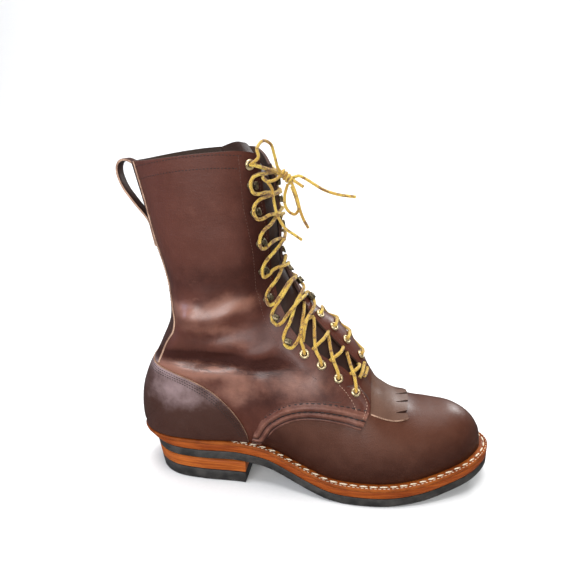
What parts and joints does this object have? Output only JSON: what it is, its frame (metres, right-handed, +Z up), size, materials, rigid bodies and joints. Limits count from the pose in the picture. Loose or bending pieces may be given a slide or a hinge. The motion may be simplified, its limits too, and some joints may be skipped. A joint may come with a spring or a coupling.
{
  "type": "packer boot",
  "caption": "Right lace-up packer boot: hollow leather upper with fringed kiltie, eyelets and hooks, back pull loop, stitched welt, layered sole and undercut heel.",
  "frame": {"origin": "on the floor under the middle of the boot's box, free lace left out", "axes": "+X towards the toe, -Y towards the outer side of the right foot, +Z up"},
  "size_m": [0.3254, 0.1108, 0.2911],
  "materials": {
    "rubber": "matte black",
    "stack_leather": "stained leather edge",
    "welt_leather": "natural, stitched",
    "lining_leather": "matte lining",
    "shaft_leather": "oiled, satin",
    "vamp_leather": "oiled, satin",
    "brass": "aged brass",
    "lace_cloth": "woven round lace"
  },
  "bodies": {
    "root": {"backstay": "vamp_leather", "counter": "vamp_leather", "eyelet_inner_1": "brass", "eyelet_inner_2": "brass", "eyelet_inner_3": "brass", "eyelet_inner_4": "brass", "eyelet_inner_5": "brass", "eyelet_outer_1": "brass", "eyelet_outer_2": "brass", "eyelet_outer_3": "brass", "eyelet_outer_4": "brass", "eyelet_outer_5": "brass", "heel_cap": "rubber", "heel_lift": "stack_leather", "hook_inner_1": "brass", "hook_inner_2": "brass", "hook_inner_3": "brass", "hook_inner_4": "brass", "hook_inner_5": "brass", "hook_inner_6": "brass", "hook_inner_7": "brass", "hook_outer_1": "brass", "hook_outer_2": "brass", "hook_outer_3": "brass", "hook_outer_4": "brass", "hook_outer_5": "brass", "hook_outer_6": "brass", "hook_outer_7": "brass", "insole": "lining_leather", "kiltie": "vamp_leather", "lace": "lace_cloth", "lace_cross_loop": "lace_cloth", "lace_hanging_end": "lace_cloth", "lace_hanging_loop": "lace_cloth", "lace_knot": "lace_cloth", "lace_long_end": "lace_cloth", "lace_short_end": "lace_cloth", "lace_strand": "lace_cloth", "lace_top_loop": "lace_cloth", "midsole": "stack_leather", "outsole": "rubber", "pull_loop": "vamp_leather", "quarter_band_inner": "shaft_leather", "quarter_band_outer": "shaft_leather", "tongue": "vamp_leather", "upper": "shaft_leather", "welt": "welt_leather"}
  },
  "joints": []
}
